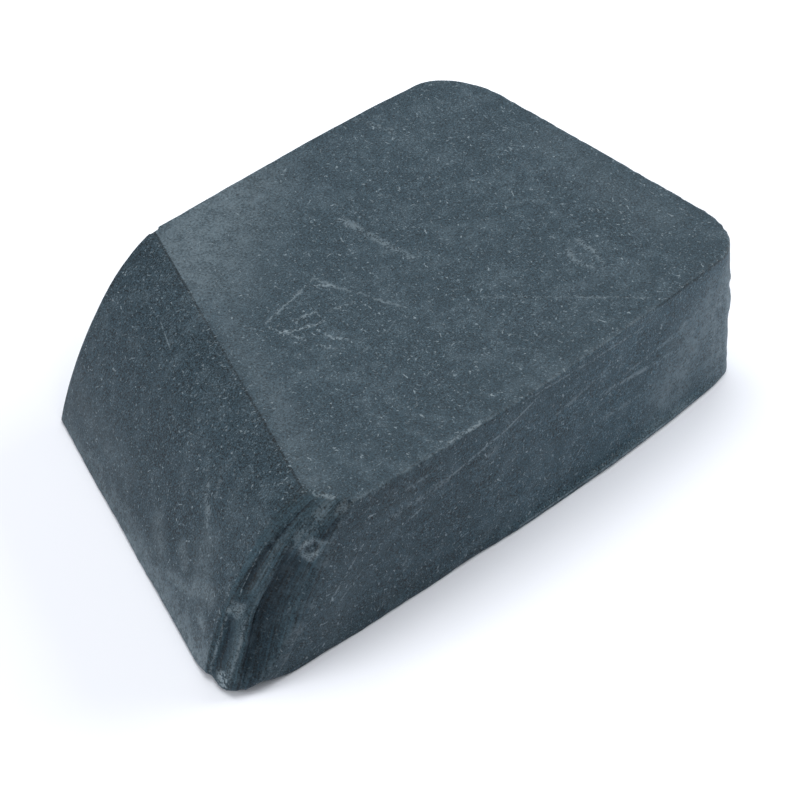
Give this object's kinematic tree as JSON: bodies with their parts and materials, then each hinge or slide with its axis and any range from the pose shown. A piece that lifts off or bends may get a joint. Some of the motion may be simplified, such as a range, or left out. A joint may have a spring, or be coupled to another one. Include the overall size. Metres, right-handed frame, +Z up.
{
  "type": "sharpening whetstone",
  "caption": "Dark block whetstone: flat faces, a bowed long side, a square end with rounded corners, and a skewed convex bevel at the other end with one broken corner.",
  "frame": {"origin": "centre of the stone's bounding box, on its underside", "axes": "+X along the stone to its square end, away from the bevel; +Y to the nearly straight long side, away from the bowed one; +Z up through the thickness"},
  "size_m": [0.1006, 0.064, 0.025],
  "materials": {
    "stone": "matte"
  },
  "bodies": {
    "root": {"whetstone": "stone"}
  },
  "joints": []
}
